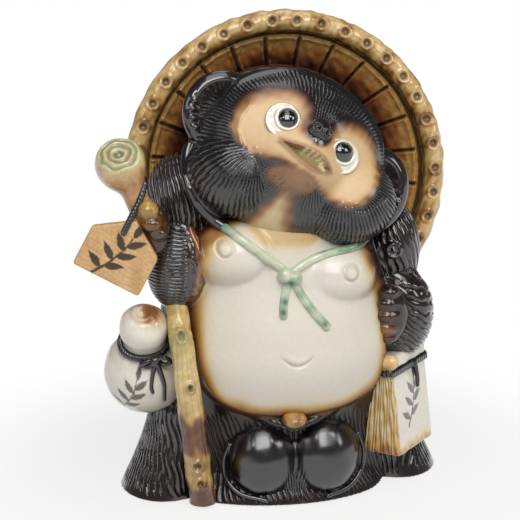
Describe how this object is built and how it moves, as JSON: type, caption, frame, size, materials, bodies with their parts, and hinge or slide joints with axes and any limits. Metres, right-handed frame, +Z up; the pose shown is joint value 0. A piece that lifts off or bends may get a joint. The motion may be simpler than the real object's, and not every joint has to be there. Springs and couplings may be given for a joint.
{
  "type": "tanuki statue",
  "caption": "Standing glazed ceramic tanuki figure with a round hat, knobbed staff, plaque, sake flask and ledger, a folk ornament for a doorway or shelf.",
  "frame": {"origin": "middle of the base slab's underside, under the torso's mid-plane", "axes": "+Z up, the figure faces -Y, its own left hand is at +X"},
  "size_m": [0.2402, 0.1416, 0.2961],
  "materials": {
    "bare_clay": "unglazed, matt",
    "cream_glaze": "gloss glaze, off-white with amber and brown edges",
    "fur_glaze": "gloss black glaze, thin and brown on the ridges",
    "face_glaze": "sprayed tan glaze, black round the edges",
    "eye_glaze": "gloss white glaze with a painted black pupil",
    "bag_glaze": "gloss dark brown glaze",
    "amber_glaze": "gloss amber glaze",
    "hat_rim_glaze": "gloss ochre glaze with brown pooling",
    "hat_dish_glaze": "red-brown glaze over rough clay",
    "staff_glaze": "runny straw glaze with green and brown",
    "plaque_clay": "matt tan clay with wood grain lines",
    "black_glaze": "gloss black glaze",
    "flask_glaze": "gloss off-white glaze with an amber foot",
    "ledger_glaze": "amber page edges and an off-white cover",
    "green_glaze": "gloss celadon glaze"
  },
  "bodies": {
    "root": {"base_slab": "bare_clay", "torso_front_shell": "cream_glaze", "torso_back_shell": "fur_glaze", "right_leg": "fur_glaze", "left_leg": "fur_glaze", "money_bag": "bag_glaze", "belly_nub": "amber_glaze", "tail": "fur_glaze", "head_front_shell": "face_glaze", "head_back_shell": "fur_glaze", "right_ear": "fur_glaze", "left_ear": "fur_glaze", "right_cheek_ruff": "fur_glaze", "left_cheek_ruff": "fur_glaze", "right_eye": "eye_glaze", "left_eye": "eye_glaze", "nose": "black_glaze", "hat_dish": "hat_dish_glaze", "hat_rim": "hat_rim_glaze", "right_shoulder": "fur_glaze", "right_forearm": "fur_glaze", "right_paw": "amber_glaze", "left_shoulder": "fur_glaze", "left_forearm": "fur_glaze", "left_paw": "amber_glaze", "staff_upper": "staff_glaze", "staff_lower": "staff_glaze", "plaque": "plaque_clay", "plaque_cord": "black_glaze", "flask": "flask_glaze", "flask_cord": "black_glaze", "ledger": "ledger_glaze", "ledger_cord": "black_glaze", "neck_cord": "green_glaze", "neck_cord_knot": "green_glaze"}
  },
  "joints": []
}
